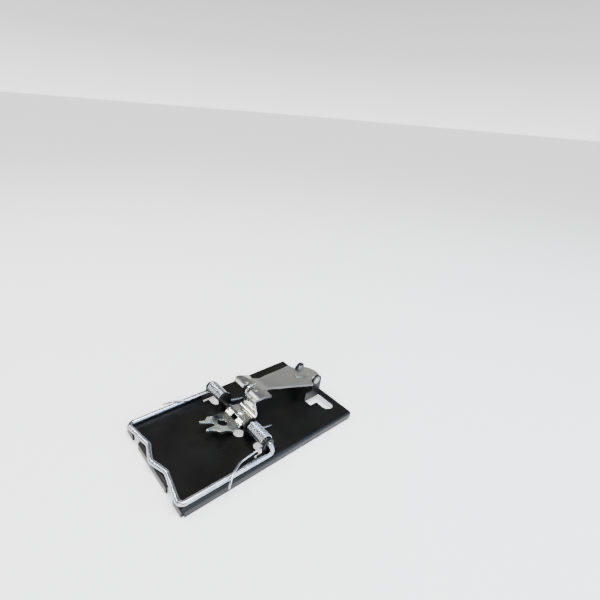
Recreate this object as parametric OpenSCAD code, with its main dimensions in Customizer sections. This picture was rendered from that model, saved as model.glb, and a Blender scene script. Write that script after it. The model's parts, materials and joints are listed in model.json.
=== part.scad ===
// Snap mouse trap: a pressed steel base, a sprung wire striker, a bait treadle
// and a hold-down lever. +X runs to the rear, +Z is up, and the trap is
// symmetric about Y = 0. The origin lies on the resting plane, under the
// middle of the base. Heights inside the modules count from the plate's top.

/* [Base pan] */
// Length of the base, front to rear
base_len = 90.4; // [90:0.2:96]
// Width of the base
base_w = 50; // [49:0.1:50.6]
// Height of the plate's top face above the resting plane
base_h = 3.8; // [3.6:0.1:5]
// Thickness of the base sheet
sheet = 0.9; // [0.8:0.05:0.95]
// Outer radius of the edge bends
edge_r = 1.2; // [1.1:0.1:1.5]

/* [Striker] */
// Diameter of the striker wire
bar_d = 2.2; // [2:0.05:2.2]
// Distance from the middle of the trap to each arm's centreline
arm_y = 23.35; // [23.35:0.05:23.6]
// Distance in front of the base's middle that the striker reaches
bar_front = 45.1; // [44:0.1:45.5]
// How far the two inward bends step back from the front edge
bar_step = 2.7; // [2.6:0.1:3]
// Height of the striker's axle above the plate
axle_z = 6.1; // [6:0.05:6.2]
// Distance of the axle in front of the base's middle
axle_front = 4.3; // [4.2:0.1:4.4]

/* [Springs] */
// Diameter of the spring wire
spring_wire = 1; // [0.9:0.05:1]
// Mean radius of the coil
coil_r = 2.45; // [2.4:0.05:2.5]
// Number of turns in each coil
turns = 11; // [9:1:11]

/* [Treadle] */
// Thickness of the treadle sheet
treadle_t = 0.9; // [0.7:0.05:0.9]
// Diameter of the bait hole
bait_hole_d = 4.4; // [3:0.1:5]
// Height of the treadle's pivot above the plate
treadle_z = 3.6; // [3.5:0.05:3.7]
// Diameter of the treadle's trunnions
treadle_pin_d = 1.6; // [1.4:0.1:1.7]

/* [Lever] */
// Thickness of the lever sheet
lever_t = 0.9; // [0.7:0.05:0.9]
// Distance of the lever's hinge behind the base's middle
hinge_back = 39.1; // [39:0.1:39.2]
// Height of the lever's hinge above the plate
hinge_z = 9.1; // [9:0.05:9.2]
// Diameter of the lever's trunnions
trunnion_d = 4; // [3.6:0.1:4.2]

/* [Fits] */
// Radial clearance of the pivots
fit = 0.05; // [0.04:0.01:0.1]

/* [Hidden] */
$fn = 64;
eps = 0.01;
axle = [-axle_front, 0, axle_z];
bar_r = bar_d / 2;
bar_z = bar_r + 0.15;
pivot_d = bar_d + 2 * fit;
wire_r = spring_wire / 2;
// Ears that carry the striker's axle: inner face, and how they are shaped
outer_ear_y = 21.25;
outer_foot_w = 10.8;
inner_ear_y = 9.3;
ear_arch_r = 2.7;
ear_arch_z = 5.2;
inner_ear_r = 3.3;
// Ears that carry the lever
lever_ear_y = 5.7;
lever_ear_r = 2.95;
lever_foot_len = 7.1;
// Spring coil, between the two ears of a side
coil_y = inner_ear_y + sheet + 0.2 + wire_r;
coil_end_y = outer_ear_y - 0.15 - wire_r;
coil_pitch = (coil_end_y - coil_y) / (turns - 1);
// The axle's inner ends sit in blind cups of the inner ears, above this skin
cup_skin = 0.3;
axle_end_y = inner_ear_y + cup_skin + 0.1;
// Height of the cutters, and how far some blanks run past the piece
cut_h = 40;
overrun = 5;
// A bend is a hair thicker than the straights, which run a little way into it
bend_swell = 0.02;
bend_lap = 0.12;

// ---------- small helpers ----------

function unit(v) = v / norm(v);
function left_of(v) = [-v[1], v[0]];
function reversed(list) = [for (i = [len(list) - 1:-1:0]) list[i]];
function mirrored(list) = [for (p = list) [p[0], -p[1], p[2]]];
function half_outline(list) = concat(list, [for (p = reversed(list)) [p[0], -p[1]]]);

// Point i of a path, moved d to the path's left
function beside(path, i, d) =
    let (a = i > 0 ? unit(path[i] - path[i - 1]) : unit(path[1] - path[0]),
        b = i < len(path) - 1 ? unit(path[i + 1] - path[i]) : a,
        n = left_of(a) + left_of(b))
    path[i] + n * 2 * d / (n * n);

// The path with each corner rounded by a short curve that starts r away
function softened(path, r, steps = 4) = concat([path[0]],
    [for (i = [1:len(path) - 2])
        let (p = path[i], a = path[i - 1] - p, b = path[i + 1] - p,
            reach = min(r, norm(a) / 2.2, norm(b) / 2.2),
            start = p + unit(a) * reach, end = p + unit(b) * reach)
        for (k = [0:steps])
            let (t = k / steps)
            start * (1 - t) * (1 - t) + p * 2 * t * (1 - t) + end * t * t],
    [path[len(path) - 1]]);

module both_sides() {
    for (s = [0, 1]) mirror([0, s, 0]) children();
}

// A flat outline in x and z, drawn as a slab from y0 to y1
module slab(y0, y1) {
    translate([0, y1, 0]) rotate([90, 0, 0]) linear_extrude(y1 - y0) children();
}

// A strip of sheet seen from its edge, following a path
module strip(path, above, below) {
    last = len(path) - 1;
    polygon(concat([for (i = [0:last]) beside(path, i, above)],
        [for (i = [last:-1:0]) beside(path, i, -below)]));
}

// A straight piece of wire
module rod(from, to, r) {
    d = to - from;
    translate(from)
        rotate([0, acos(d[2] / norm(d)), atan2(d[1], d[0])])
            cylinder(h = norm(d), r = r);
}

// Length that a bend takes from each of its two straights
function bend_reach(a, p, b, bend) =
    bend * tan(acos(unit(p - a) * unit(b - p)) / 2);

// A bend of wire at p, between the points a and b
module wire_bend(a, p, b, bend, r) {
    u = unit(p - a);
    w = unit(b - p);
    k = unit(cross(u, w));
    m = cross(k, u);
    c = p - u * bend_reach(a, p, b, bend) + m * bend;
    multmatrix([[-m[0], u[0], k[0], c[0]],
        [-m[1], u[1], k[1], c[1]],
        [-m[2], u[2], k[2], c[2]],
        [0, 0, 0, 1]])
        rotate_extrude(angle = acos(u * w))
            translate([bend, 0]) circle(r = r + bend_swell);
}

// Wire along a list of points, bent at each inner one
module wire(points, bends, r) {
    last = len(points) - 1;
    for (i = [0:last - 1]) {
        u = unit(points[i + 1] - points[i]);
        start = i == 0 ? 0
            : bend_reach(points[i - 1], points[i], points[i + 1], bends[i]) - bend_lap;
        end = i == last - 1 ? 0
            : bend_reach(points[i], points[i + 1], points[i + 2], bends[i + 1]) - bend_lap;
        rod(points[i] + u * start, points[i + 1] - u * end, r);
    }
    for (i = [1:last - 1])
        wire_bend(points[i - 1], points[i], points[i + 1], bends[i], r);
}

// ---------- base ----------

// Side view of a block with both upper corners rounded, top at z = 0
module rounded_top(w, h, r) {
    translate([-w / 2, -h]) square([w, h - r]);
    translate([-w / 2 + r, -h]) square([w - 2 * r, h]);
    for (s = [-1, 1]) translate([s * (w / 2 - r), -r]) circle(r = r);
}

// The pan's block, top at z = 0: rounded along both sides and along the front.
// It runs on past the rear edge, where the pan is open.
module pan_block(len_x, w, h, r) {
    intersection() {
        translate([-len_x / 2, 0, 0])
            rotate([90, 0, 90]) linear_extrude(len_x + overrun) rounded_top(w, h, r);
        translate([overrun, 0, 0])
            slab(-w, w) rounded_top(len_x + 2 * overrun, h, r);
    }
}

// Blank of an outer ear, measured from its fold: also the window it leaves
module outer_ear_blank(arch_h) {
    foot_h = 1.7;
    translate([-outer_foot_w / 2, -eps]) square([outer_foot_w, foot_h]);
    translate([-ear_arch_r, -eps]) square([2 * ear_arch_r, arch_h]);
    translate([0, arch_h]) circle(r = ear_arch_r);
}

// Blank of a lever ear: a ring on a stem, with a foot in front
module lever_ear_blank(ring_h) {
    foot_h = 4.2;
    translate([-lever_foot_len, -eps]) square([lever_foot_len, foot_h]);
    translate([-lever_ear_r, -eps]) square([2 * lever_ear_r, ring_h]);
    translate([0, ring_h]) circle(r = lever_ear_r);
}

module inner_ear_shape() {
    translate([-inner_ear_r, -sheet]) square([2 * inner_ear_r, axle_z + sheet]);
    translate([0, axle_z]) circle(r = inner_ear_r);
}

// Round pin or bore along Y at a pivot, on the +Y side
module pivot_round(x, z, d, y0, y1) {
    translate([x, y0, z]) rotate([-90, 0, 0]) cylinder(h = y1 - y0, d = d);
}

module pan() {
    flange_end_r = 2;
    flange_gap = [12.7, 18.2];
    corner_slit = 0.8;
    window_gap = 0.2;
    hole = [axle[0] - 2.9, 5.9];
    hole_r = 2.5;
    difference() {
        pan_block(base_len, base_w, base_h, edge_r);
        translate([0, 0, -sheet])
            pan_block(base_len - 2 * sheet, base_w - 2 * sheet, base_h, edge_r - sheet);
        translate([base_len / 2, -base_w, -cut_h / 2])
            cube([2 * overrun, 2 * base_w, cut_h]);
        both_sides() {
            // Rounded lower rear end of the side flange
            translate([base_len / 2 - flange_end_r, 0, -base_h + flange_end_r])
                slab(base_w / 2 - 2 * edge_r, base_w) difference() {
                    translate([0, -flange_end_r - 1]) square(flange_end_r + 1);
                    circle(r = flange_end_r);
                }
            // Gap in the front flange, and the slit at its corner
            translate([-base_len / 2 - 1, flange_gap[0], -cut_h / 2])
                cube([1 + edge_r, flange_gap[1] - flange_gap[0], cut_h]);
            translate([-base_len / 2 - 1, base_w / 2 - corner_slit, -cut_h - sheet])
                cube([1 + edge_r, 2 * corner_slit, cut_h]);
            // Windows left by the outer ears, folded up at their outer end
            translate([axle[0], outer_ear_y - window_gap, -cut_h / 2])
                linear_extrude(cut_h) mirror([0, 1])
                    outer_ear_blank(ear_arch_z - sheet);
            // Windows left by the lever ears, folded up at their inner end
            translate([hinge_back, lever_ear_y + sheet, -cut_h / 2])
                linear_extrude(cut_h) lever_ear_blank(hinge_z - sheet);
            // Round holes beside the treadle's front
            translate([hole[0], hole[1], -cut_h / 2]) cylinder(h = cut_h, r = hole_r);
        }
    }
}

module base_plate() {
    color([0.1, 0.1, 0.11]) translate([0, 0, base_h]) {
        pan();
        both_sides() {
            difference() {
                union() {
                    translate([axle[0], 0, 0])
                        slab(outer_ear_y, outer_ear_y + sheet)
                            union() {
                                outer_ear_blank(ear_arch_z);
                                translate([-outer_foot_w / 2, -sheet])
                                    square([outer_foot_w, sheet]);
                            }
                    translate([axle[0], 0, 0])
                        slab(inner_ear_y, inner_ear_y + sheet) inner_ear_shape();
                }
                pivot_round(axle[0], axle[2], pivot_d, inner_ear_y + cup_skin, base_w / 2);
                pivot_round(axle[0], treadle_z, treadle_pin_d + 2 * fit,
                    inner_ear_y - 1, inner_ear_y + sheet + 0.1);
            }
            difference() {
                translate([hinge_back, 0, 0])
                    slab(lever_ear_y, lever_ear_y + sheet)
                        union() {
                            lever_ear_blank(hinge_z);
                            translate([-lever_foot_len, -sheet])
                                square([lever_foot_len + lever_ear_r, sheet]);
                        }
                pivot_round(hinge_back, hinge_z, trunnion_d + 2 * fit,
                    lever_ear_y - 1, lever_ear_y + sheet + 1);
            }
        }
    }
}

// ---------- springs ----------

// Coil and rear leg of the spring on one side, 1 or -1. The rear leg leaves
// the coil's underside and rests on the plate.
module coil(side) {
    leg_tip = [7, side * coil_y, wire_r + 0.05];
    web = 0.5;
    color([0.78, 0.82, 0.88]) translate([0, 0, base_h]) {
        translate([axle[0], 0, axle[2]]) rotate([-90, 0, 0])
            rotate_extrude() {
                for (i = [0:turns - 1])
                    translate([coil_r, side * (coil_y + i * coil_pitch)])
                        circle(r = wire_r);
                translate([coil_r, side * (coil_y + coil_end_y) / 2])
                    square([web, coil_end_y - coil_y], center = true);
            }
        rod([axle[0], side * coil_y, axle[2] - coil_r], leg_tip, wire_r - bend_swell);
    }
}

// Front leg of the spring on one side: it crosses over the arm and hooks
// down outside it
module front_leg(side) {
    start_x = axle[0] - 2.6;
    height = axle[2] - coil_r - 0.03;
    over_arm = bar_z + bar_r + wire_r + 0.15;
    points = [[start_x, side * coil_end_y, height],
        [start_x - 2.1, side * coil_end_y, height - 0.15],
        [-17.5, side * (coil_end_y + 0.6), over_arm],
        [-23, side * (arm_y + 0.55), over_arm],
        [-26.9, side * (arm_y + 3.6), 0.8]];
    color([0.78, 0.82, 0.88]) translate([0, 0, base_h])
        wire(points, [0, 2, 2, 1, 0], wire_r);
}

module spring_coil_left() {
    coil(1);
}

module spring_coil_right() {
    coil(-1);
}

module spring_leg_left() {
    front_leg(1);
}

module spring_leg_right() {
    front_leg(-1);
}

// ---------- striker ----------

module striker_bar() {
    inner_bend_y = 8;
    drop_back = 1.4;
    arm_toe_in = 0.15;
    half = [[axle[0], axle_end_y, axle_z],
        [axle[0], arm_y, axle_z],
        [axle[0] + drop_back, arm_y, bar_z],
        [-bar_front, arm_y - arm_toe_in, bar_z],
        [-bar_front + bar_step, inner_bend_y, bar_z]];
    tip = [-bar_front, 0, bar_z];
    half_bends = [0, 1.15, 1.5, 2, 3];
    color([0.8, 0.83, 0.88]) translate([0, 0, base_h])
        wire(concat(half, [tip], mirrored(reversed(half))),
            concat(half_bends, [2.5], reversed(half_bends)), bar_r);
}

// ---------- treadle ----------

// Upper face from the prongs, over the hump, up the wall and along the shelf
treadle_path = [[-21.6, 6.7], [-16.4, 5], [-11, 3.2], [-6.6, 3.1], [-4.4, 4.7],
    [0.7, 3.6], [2.2, 4.3], [2.4, 8.1], [2.8, 10.2], [3.6, 11.3], [4.8, 11.8],
    [8.6, 11.6]];
treadle_bend = 1.2;
// Half-widths of the paddle and hump, along X
paddle_half = [[-22, 3.1], [-18.7, 3.3], [-16.4, 5.3], [-13, 5.2], [-11, 5.9],
    [-8.5, 5.6], [0.7, 5.75], [4, 5.6]];
// Half-widths of the open slot between the two prongs, along X
slot_half = [[-30, 2.4], [-22, 2.4], [-16.2, 0.7]];
// Half-widths of the wall, by height
wall_half = [[3, 5.7], [5.9, 4.6], [8.1, 3.4], [9.3, 3.1], [10.3, 3.4]];
// Half-widths of the shelf, along X
shelf_half = [[2, 3.4], [3.6, 3.8], [4.8, 4.35], [6.5, 4.75], [10, 5]];

module bait_treadle() {
    blank_x = -30;
    blank_half = 9;
    wall_x = 1.4;
    wall_top = 10.2;
    bait_x = -12.2;
    window = [2.1, 3.2];
    window_tilt = -39;
    dome = [-2.5, 3];
    dome_r = 2;
    tab = [[-5.9, 5.2], [-2.7, 5.2], [-3.4, 7.4], [-5.2, 7.4]];
    tab_z = [3.7, 4.5];
    pin_y = [5, inner_ear_y + sheet - 0.25];
    color([0.72, 0.73, 0.68]) translate([0, 0, base_h]) {
        difference() {
            intersection() {
                slab(-blank_half, blank_half)
                    strip(softened(treadle_path, treadle_bend), 0, treadle_t);
                union() {
                    linear_extrude(wall_top - 1) intersection() {
                        polygon(half_outline(paddle_half));
                        translate([blank_x, -blank_half])
                            square([wall_x - blank_x, 2 * blank_half]);
                    }
                    translate([wall_x, 0, 0]) rotate([90, 0, 90]) linear_extrude(4)
                        intersection() {
                            polygon([for (p = half_outline(wall_half)) [p[1], p[0]]]);
                            translate([-blank_half, 0])
                                square([2 * blank_half, wall_top]);
                        }
                    translate([0, 0, wall_top - eps]) linear_extrude(4)
                        polygon(half_outline(shelf_half));
                }
            }
            linear_extrude(cut_h) polygon(half_outline(slot_half));
            translate([bait_x, 0, 0]) cylinder(h = cut_h / 2, d = bait_hole_d);
            // Square window in the hump's front slope
            translate([-5.5, 0, 3.4]) rotate([0, window_tilt, 0])
                cube([window[0], window[1], 6], center = true);
        }
        // Low dome pressed up behind the window
        intersection() {
            translate([dome[0], 0, dome[1]]) sphere(r = dome_r);
            translate([dome[0], 0, dome[1] + 2.2])
                cube([2 * dome_r, 2 * dome_r, 3], center = true);
        }
        // Tabs and trunnions that carry the treadle in the inner ears
        both_sides() {
            translate([0, 0, tab_z[0]]) linear_extrude(tab_z[1] - tab_z[0]) polygon(tab);
            pivot_round(axle[0], treadle_z, treadle_pin_d, pin_y[0], pin_y[1]);
        }
        treadle_hook();
    }
}

// Narrow strip that rises from the wall, passes the notch of the lever and
// lies over the lever's front
module treadle_hook() {
    hook_w = 0.8;
    hook_t = 0.6;
    path = [[3.1, 9], [-0.3, 13.5], [-0.1, 14.6], [0.3, 16], [1.2, 17.1], [2.8, 17.65],
        [5.1, 17.65]];
    slab(-hook_w / 2, hook_w / 2)
        strip(softened(path, treadle_bend), hook_t / 2, hook_t / 2);
}

// ---------- lever ----------

// Middle of the sheet, from the front lip to the rear end
lever_path = [[-0.5, 16.1], [0.7, 16.9], [4.5, 16.6], [9, 15.3],
    [hinge_back, hinge_z], [hinge_back + 6.9, hinge_z - 1.42]];
// Half-widths of the lever along X, from its front edge to its shoulders
lever_half = [[-1.2, 7.7], [0.9, 9.2], [3.2, 9], [6.5, 5], [8.6, 4.3], [10.5, 4.1],
    [12.5, 4.5], [15, 5.2], [20, 6.1], [25, 7.1], [30, 8.1], [33, 8.9], [34, 8.6],
    [35.2, 6.8], [35.5, 5.4]];

module lever_outline() {
    rear_r = 6;
    rear_half = 5.4;
    rear_x = 35;
    polygon(half_outline(lever_half));
    intersection() {
        translate([hinge_back, 0]) circle(r = rear_r);
        translate([rear_x, -rear_half]) square([2 * rear_r, 2 * rear_half]);
    }
    translate([rear_x, -rear_half]) square([hinge_back - rear_x, 2 * rear_half]);
}

// Rear corner of the head's arm on the +Y side, bent down along a slanting fold
module barb() {
    fold = [[3.2, 9], [6.5, 5]];
    middle = (fold[0] + fold[1]) / 2;
    half_len = norm(fold[1] - fold[0]) / 2 - 0.1;
    turn = atan2(fold[1][1] - fold[0][1], fold[1][0] - fold[0][0]) + 90;
    fold_z = 16.45;
    drop = 24;
    reach = 2.9;
    root = -0.7;
    tip_half = 0.4;
    translate([middle[0], middle[1], fold_z]) rotate([0, 0, turn]) rotate([0, drop, 0])
        translate([0, 0, -lever_t / 2]) linear_extrude(lever_t)
            polygon([[root, -half_len], [0, -half_len], [reach, -tip_half],
                [reach, tip_half], [0, half_len], [root, half_len]]);
}

module latch_lever() {
    blank_half = 12;
    lip_bend = 1;
    raised = lever_t / 2 + 0.35;
    pin_y = [4.6, lever_ear_y + sheet - 0.15];
    notch_w = 4.4;
    notch_end = 3;
    pip = [2.6, 3.35, 16.75];
    pad_x = -5.2;
    pad_r = 2;
    tilt = atan2(lever_path[3][1] - hinge_z, hinge_back - lever_path[3][0]);
    color([0.66, 0.66, 0.64]) translate([0, 0, base_h]) {
        difference() {
            intersection() {
                slab(-blank_half, blank_half)
                    strip(softened(lever_path, lip_bend), lever_t / 2, lever_t / 2);
                linear_extrude(cut_h) lever_outline();
            }
            // Notch for the treadle's hook
            translate([-overrun, -notch_w / 2, 0])
                cube([overrun + notch_end, notch_w, cut_h]);
        }
        both_sides() {
            // Pip on each half of the head
            translate(pip) cylinder(h = raised, r1 = 1.05, r2 = 0.7);
            barb();
        }
        translate([hinge_back, 0, hinge_z]) {
            // Oval pad pressed up in front of the hinge
            rotate([0, tilt, 0]) translate([pad_x, 0, 0]) linear_extrude(raised) {
                square(2 * pad_r, center = true);
                for (s = [-1, 1]) translate([s * pad_r, 0]) circle(r = pad_r);
            }
            // Trunnions that turn in the rear ears
            both_sides() pivot_round(0, 0, trunnion_d, pin_y[0], pin_y[1]);
        }
    }
}

// ---------- parts ----------

base_plate();
spring_coil_left();
spring_coil_right();
striker_bar();
spring_leg_left();
spring_leg_right();
bait_treadle();
latch_lever();
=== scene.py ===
import json
import math

import bmesh
import bpy
from mathutils import Matrix, Vector


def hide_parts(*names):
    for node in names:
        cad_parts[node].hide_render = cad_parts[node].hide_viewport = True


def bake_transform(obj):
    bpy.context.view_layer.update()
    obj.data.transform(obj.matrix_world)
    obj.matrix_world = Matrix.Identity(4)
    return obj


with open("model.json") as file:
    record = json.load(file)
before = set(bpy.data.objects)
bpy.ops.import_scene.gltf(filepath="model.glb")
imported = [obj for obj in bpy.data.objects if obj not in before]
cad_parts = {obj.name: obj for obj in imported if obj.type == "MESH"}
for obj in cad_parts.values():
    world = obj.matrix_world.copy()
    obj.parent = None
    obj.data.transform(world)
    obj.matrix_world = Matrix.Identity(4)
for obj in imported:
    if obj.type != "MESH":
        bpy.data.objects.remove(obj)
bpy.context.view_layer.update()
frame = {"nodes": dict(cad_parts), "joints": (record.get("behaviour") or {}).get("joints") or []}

MM = 0.001
JOINTS = {j["name"]: j for j in frame["joints"]}
AXLE = Vector(JOINTS["striker_swing"]["pos_m"])
NODES = frame["nodes"]
# Height of the base plate's top face
PLATE_TOP = 3.8 * MM
# Centre line of the spring's wire: its coil, and where the coil starts and ends
COIL_RADIUS = 2.45 * MM
COIL_INNER = 10.9 * MM
COIL_OUTER = 20.6 * MM
COIL_TURNS = 10
SPRING_WIRE_RADIUS = 0.44 * MM
# Centre line of the striker's arms
ARM_Y = 23.35 * MM


def fill_ramp(node, stops):
    """Gives a colour ramp node its stops, each a place and a colour."""
    elements = node.color_ramp.elements
    while len(elements) < len(stops):
        elements.new(0.5)
    for element, (place, colour) in zip(elements, stops):
        element.position = place
        element.color = (*colour, 1)


# ---------- materials ----------

class Shader:
    """A Principled material and short calls that add nodes to it."""

    def __init__(self, name, colour, metallic, roughness):
        self.material = bpy.data.materials.new(name)
        self.material.use_nodes = True
        self.tree = self.material.node_tree
        self.shader = self.tree.nodes["Principled BSDF"]
        self.set("Base Color", (*colour, 1))
        self.set("Metallic", metallic)
        self.set("Roughness", roughness)
        self.coords = self.tree.nodes.new("ShaderNodeTexCoord").outputs["Object"]

    def set(self, socket, value):
        self.shader.inputs[socket].default_value = value

    def link(self, output, socket):
        self.tree.links.new(output, socket)

    def stretched(self, scale):
        """Object coordinates stretched by scale, in cycles a metre on each axis."""
        node = self.tree.nodes.new("ShaderNodeMapping")
        node.inputs["Scale"].default_value = scale
        self.link(self.coords, node.inputs["Vector"])
        return node.outputs["Vector"]

    def noise(self, scale, detail=3, vector=None, distortion=0):
        node = self.tree.nodes.new("ShaderNodeTexNoise")
        node.inputs["Scale"].default_value = scale
        node.inputs["Detail"].default_value = detail
        node.inputs["Distortion"].default_value = distortion
        self.link(vector or self.coords, node.inputs["Vector"])
        return node.outputs["Fac"]

    def ramp(self, value, stops):
        node = self.tree.nodes.new("ShaderNodeValToRGB")
        fill_ramp(node, stops)
        self.link(value, node.inputs["Fac"])
        return node.outputs["Color"]

    def spread(self, value, low, high):
        """Turns a noise value, which stays near its middle, into low to high."""
        node = self.tree.nodes.new("ShaderNodeMapRange")
        node.inputs["From Min"].default_value = 0.3
        node.inputs["From Max"].default_value = 0.7
        node.inputs["To Min"].default_value = low
        node.inputs["To Max"].default_value = high
        self.link(value, node.inputs["Value"])
        return node.outputs["Result"]

    def mix(self, factor, first, second, blend="MIX"):
        node = self.tree.nodes.new("ShaderNodeMix")
        node.data_type = "RGBA"
        node.blend_type = blend
        sockets = [s for s in node.inputs if s.type == "RGBA"]
        for socket, value in zip(sockets, (first, second)):
            if isinstance(value, tuple):
                socket.default_value = (*value, 1)
            else:
                self.link(value, socket)
        if isinstance(factor, float):
            node.inputs[0].default_value = factor
        else:
            self.link(factor, node.inputs[0])
        return next(s for s in node.outputs if s.type == "RGBA")

    def colour(self, output):
        self.link(output, self.shader.inputs["Base Color"])

    def roughness(self, output):
        self.link(output, self.shader.inputs["Roughness"])

    def round_edges(self, radius_mm):
        """Shades every edge as if it were rounded; comes before any bump."""
        node = self.tree.nodes.new("ShaderNodeBevel")
        node.samples = 6
        node.inputs["Radius"].default_value = radius_mm * MM
        self.link(node.outputs["Normal"], self.shader.inputs["Normal"])

    def bump(self, height, depth):
        """Relief of the given depth in metres, on top of any added before."""
        node = self.tree.nodes.new("ShaderNodeBump")
        node.inputs["Distance"].default_value = depth
        self.link(height, node.inputs["Height"])
        normal = self.shader.inputs["Normal"]
        if normal.links:
            self.link(normal.links[0].from_socket, node.inputs["Normal"])
        self.link(node.outputs["Normal"], normal)


def black_paint():
    """Semi-gloss stoved paint: faint orange peel, cloudy sheen, a few specks."""
    s = Shader("black_paint", (0.006, 0.006, 0.007), 0.0, 0.3)
    s.set("Specular IOR Level", 0.2)
    s.round_edges(0.22)
    clouds = s.noise(90, 4)
    base = s.ramp(clouds, [(0.3, (0.003, 0.0029, 0.0026)),
                           (0.7, (0.0062, 0.006, 0.0054))])
    specks = s.ramp(s.noise(1900, 1), [(0.8, (0, 0, 0)), (0.85, (1, 1, 1))])
    s.colour(s.mix(specks, base, (0.035, 0.034, 0.03)))
    s.roughness(s.spread(s.noise(160, 5), 0.27, 0.34))
    s.bump(s.noise(2600, 2), 0.006 * MM)
    s.bump(s.noise(260, 2), 0.01 * MM)
    return s.material


def zinc_wire():
    """Bright drawn wire, zinc plated: a cool tint and faint cloudy patches."""
    s = Shader("zinc_wire", (0.47, 0.5, 0.54), 1.0, 0.24)
    s.round_edges(0.12)
    patches = s.noise(240, 3)
    s.colour(s.ramp(patches, [(0.3, (0.33, 0.36, 0.41)), (0.5, (0.43, 0.46, 0.5)),
                              (0.7, (0.5, 0.5, 0.49))]))
    s.roughness(s.spread(s.noise(420, 4), 0.18, 0.3))
    s.bump(s.noise(1800, 2), 0.0015 * MM)
    return s.material


def treadle_zinc():
    """Passivated sheet: patches of straw, rose and teal over bright zinc."""
    s = Shader("treadle_zinc", (0.55, 0.59, 0.56), 1.0, 0.22)
    s.round_edges(0.3)
    film = s.noise(210, 2, distortion=0.7)
    hue = s.ramp(film, [(0.3, (0.46, 0.6, 0.6)), (0.41, (0.58, 0.65, 0.57)),
                        (0.48, (0.71, 0.69, 0.53)), (0.54, (0.62, 0.56, 0.53)),
                        (0.6, (0.28, 0.44, 0.48)), (0.7, (0.62, 0.67, 0.63))])
    bareness = s.spread(s.noise(130, 2), 0.05, 0.5)
    s.colour(s.mix(bareness, hue, (0.66, 0.7, 0.64)))
    s.roughness(s.spread(s.noise(380, 3), 0.16, 0.28))
    s.bump(s.noise(600, 3), 0.008 * MM)
    return s.material


def lever_zinc():
    """Dull galvanised sheet with faint rolling streaks along the lever."""
    s = Shader("lever_zinc", (0.32, 0.32, 0.31), 1.0, 0.36)
    s.round_edges(0.35)
    streaks = s.noise(1, 4, s.stretched((50, 500, 500)))
    base = s.ramp(streaks, [(0.3, (0.28, 0.28, 0.272)), (0.7, (0.35, 0.345, 0.33))])
    blotches = s.ramp(s.noise(110, 3), [(0.35, (0.86, 0.88, 0.9)),
                                        (0.65, (1, 0.97, 0.91))])
    s.colour(s.mix(0.7, base, blotches, "MULTIPLY"))
    s.roughness(s.spread(s.noise(250, 4), 0.3, 0.42))
    s.bump(streaks, 0.004 * MM)
    s.bump(s.noise(1300, 3), 0.004 * MM)
    return s.material


def floor_white():
    """Plain pale paper, lit a little from within so that it stays near white."""
    s = Shader("floor_white", (0.88, 0.88, 0.88), 0.0, 0.7)
    s.colour(s.ramp(s.noise(8, 2), [(0.3, (0.9, 0.885, 0.865)),
                                    (0.7, (0.92, 0.905, 0.885))]))
    s.set("Emission Color", (1, 1, 1, 1))
    s.set("Emission Strength", 0.9)
    return s.material


# ---------- CAD nodes ----------

def finish_node(name, material):
    node = NODES[name]
    node.data.materials.clear()
    node.data.materials.append(material)


# ---------- springs ----------

def spring_line(side):
    """Points along one spring's wire, rear tip to front tip, in the row frame.
    side is 1 for +Y and -1 for -Y."""
    leg_steps = 6
    turn_steps = 36
    # The rear leg is straight, and touches the coil's circle where it leaves it
    rear_tip = Vector((7 * MM, side * COIL_INNER, PLATE_TOP + 0.52 * MM))
    to_tip = Vector((rear_tip.x - AXLE.x, rear_tip.z - AXLE.z))
    lean = math.atan2(to_tip.y, to_tip.x) + math.asin(COIL_RADIUS / to_tip.length)
    leave = Vector((AXLE.x + COIL_RADIUS * math.sin(lean), side * COIL_INNER,
                    AXLE.z - COIL_RADIUS * math.cos(lean)))
    line = [rear_tip.lerp(leave, i / leg_steps) for i in range(leg_steps)]
    # The coil runs outwards to its underside
    sweep = COIL_TURNS * 2 * math.pi + lean
    count = COIL_TURNS * turn_steps
    for i in range(count + 1):
        part = i / count
        angle = -math.pi / 2 + lean - part * sweep
        across = COIL_INNER + (COIL_OUTER - COIL_INNER) * part
        line.append(Vector((AXLE.x + COIL_RADIUS * math.cos(angle), side * across,
                            AXLE.z + COIL_RADIUS * math.sin(angle))))
    # The front leg crosses over the striker's arm and hooks down outside it
    over = PLATE_TOP + 3 * MM
    front = [Vector((-9 * MM, side * COIL_OUTER, AXLE.z - COIL_RADIUS)),
             Vector((-17.5 * MM, side * (COIL_OUTER + 0.6 * MM), over)),
             Vector((-23 * MM, side * (ARM_Y + 0.55 * MM), over)),
             Vector((-26.9 * MM, side * (ARM_Y + 3.6 * MM), PLATE_TOP + 0.8 * MM))]
    return line + rounded(front, 1.6 * MM)


def rounded(points, reach):
    """The points with each inner corner turned into a short curve."""
    steps = 5
    made = [points[0]]
    for before, corner, after in zip(points, points[1:], points[2:]):
        start = corner + (before - corner).normalized() * reach
        end = corner + (after - corner).normalized() * reach
        for i in range(steps + 1):
            t = i / steps
            made.append(start.lerp(corner, t).lerp(corner.lerp(end, t), t))
    return made + [points[-1]]


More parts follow.
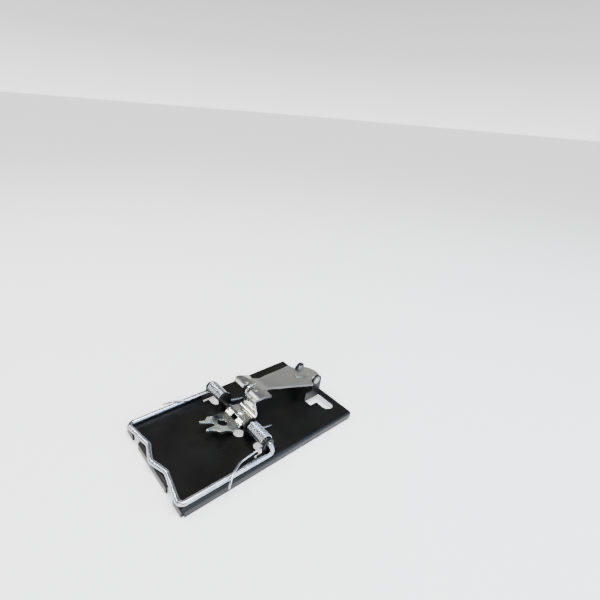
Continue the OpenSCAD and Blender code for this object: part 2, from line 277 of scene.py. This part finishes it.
def sweep_tube(name, line, radius):
    """A mesh tube along the line, with a blunt cone at each end."""
    sides = 12
    cone_height = radius * 0.35
    bm = bmesh.new()
    rings = []
    normal = Vector((0, 0, 1))
    last = len(line) - 1
    for i, point in enumerate(line):
        along = (line[min(i + 1, last)] - line[max(i - 1, 0)]).normalized()
        normal = (normal - along * normal.dot(along)).normalized()
        across = along.cross(normal)
        ring = []
        for k in range(sides):
            a = 2 * math.pi * k / sides
            offset = (normal * math.cos(a) + across * math.sin(a)) * radius
            ring.append(bm.verts.new(point + offset))
        rings.append(ring)
    for lower, upper in zip(rings, rings[1:]):
        for k in range(sides):
            n = (k + 1) % sides
            bm.faces.new((lower[k], lower[n], upper[n], upper[k]))
    ends = ((rings[0], line[0], line[1]), (rings[-1], line[-1], line[-2]))
    for ring, point, inner in ends:
        tip = bm.verts.new(point + (point - inner).normalized() * cone_height)
        for k in range(sides):
            bm.faces.new((ring[k], ring[(k + 1) % sides], tip))
    bmesh.ops.recalc_face_normals(bm, faces=bm.faces)
    mesh = bpy.data.meshes.new(name)
    bm.to_mesh(mesh)
    bm.free()
    for face in mesh.polygons:
        face.use_smooth = True
    piece = bpy.data.objects.new(name, mesh)
    bpy.context.scene.collection.objects.link(piece)
    return piece


def torsion_spring(word, side, material):
    """One spring in a single wire: it twists between the base and the striker."""
    piece = sweep_tube("torsion_spring_" + word, spring_line(side), SPRING_WIRE_RADIUS)
    piece.data.materials.append(material)
    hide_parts("spring_coil_" + word, "spring_leg_" + word)
    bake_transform(piece)


# ---------- floor, light and camera ----------

def floor(material):
    """A square so wide that its edge passes for the horizon."""
    bpy.ops.mesh.primitive_plane_add(size=60)
    plane = bpy.context.object
    plane.name = "floor"
    plane.data.materials.append(material)


def area_light(name, place, size, power, colour=(1, 1, 1)):
    """A rectangular light, its size and place in metres, turned to the origin."""
    data = bpy.data.lights.new(name, "AREA")
    data.shape = "RECTANGLE"
    data.size, data.size_y = size
    data.energy = power
    data.color = colour
    light = bpy.data.objects.new(name, data)
    light.location = place
    light.rotation_euler = (-Vector(place)).to_track_quat("-Z", "Y").to_euler()
    bpy.context.scene.collection.objects.link(light)


def studio():
    """A soft room: pale at the horizon and overhead, dim between the two."""
    world = bpy.data.worlds.new("studio")
    world.use_nodes = True
    tree = world.node_tree
    coords = tree.nodes.new("ShaderNodeTexCoord")
    split = tree.nodes.new("ShaderNodeSeparateXYZ")
    ramp = tree.nodes.new("ShaderNodeValToRGB")
    # Each stop is the upward part of the direction, 0 at the horizon and 1 overhead
    fill_ramp(ramp, [(0.0, (0.5, 0.5, 0.5)), (0.12, (0.3, 0.3, 0.3)),
                     (0.3, (0.17, 0.17, 0.172)), (0.46, (0.035, 0.036, 0.038)),
                     (0.92, (0.03, 0.031, 0.033)), (0.975, (1, 1, 1))])
    tree.links.new(coords.outputs["Generated"], split.inputs["Vector"])
    tree.links.new(split.outputs["Z"], ramp.inputs["Fac"])
    tree.links.new(ramp.outputs["Color"], tree.nodes["Background"].inputs["Color"])
    tree.nodes["Background"].inputs["Strength"].default_value = 5
    bpy.context.scene.world = world
    area_light("key", (0.05, -0.15, 0.65), (0.3, 0.2), 6)
    area_light("strip", (-0.22, 0.3, 0.45), (0.3, 0.03), 2)
    area_light("fill", (-0.5, -0.3, 0.3), (0.3, 0.12), 1.6, (1, 0.97, 0.93))
    area_light("side", (0.25, -0.5, 0.3), (0.5, 0.12), 4.2, (0.36, 0.6, 1))


def camera():
    """The photo's view: close, from above, over the front corner on the -Y side."""
    azimuth, elevation, roll = map(math.radians, (-40.018, 26.984, 4.785))
    place = Vector((-85.03, -102.63, 128.7)) * MM
    back = Vector((math.sin(azimuth) * math.cos(elevation),
                   -math.cos(azimuth) * math.cos(elevation), math.sin(elevation)))
    level = Vector((math.cos(azimuth), math.sin(azimuth), 0))
    above = back.cross(level)
    right = level * math.cos(roll) + above * math.sin(roll)
    up = above * math.cos(roll) - level * math.sin(roll)
    data = bpy.data.cameras.new("camera")
    data.sensor_width = 36
    data.lens = 23.095
    data.shift_x = 0.0744
    data.shift_y = 0.0115
    data.clip_start = 0.01
    view = bpy.data.objects.new("camera", data)
    turn = Matrix((right, up, back)).transposed().to_4x4()
    view.matrix_world = Matrix.Translation(place) @ turn
    bpy.context.scene.collection.objects.link(view)
    bpy.context.scene.camera = view


camera()
studio()
floor(floor_white())
wire = zinc_wire()
finish_node("base_plate", black_paint())
finish_node("striker_bar", wire)
finish_node("bait_treadle", treadle_zinc())
finish_node("latch_lever", lever_zinc())
torsion_spring("left", 1, wire)
torsion_spring("right", -1, wire)
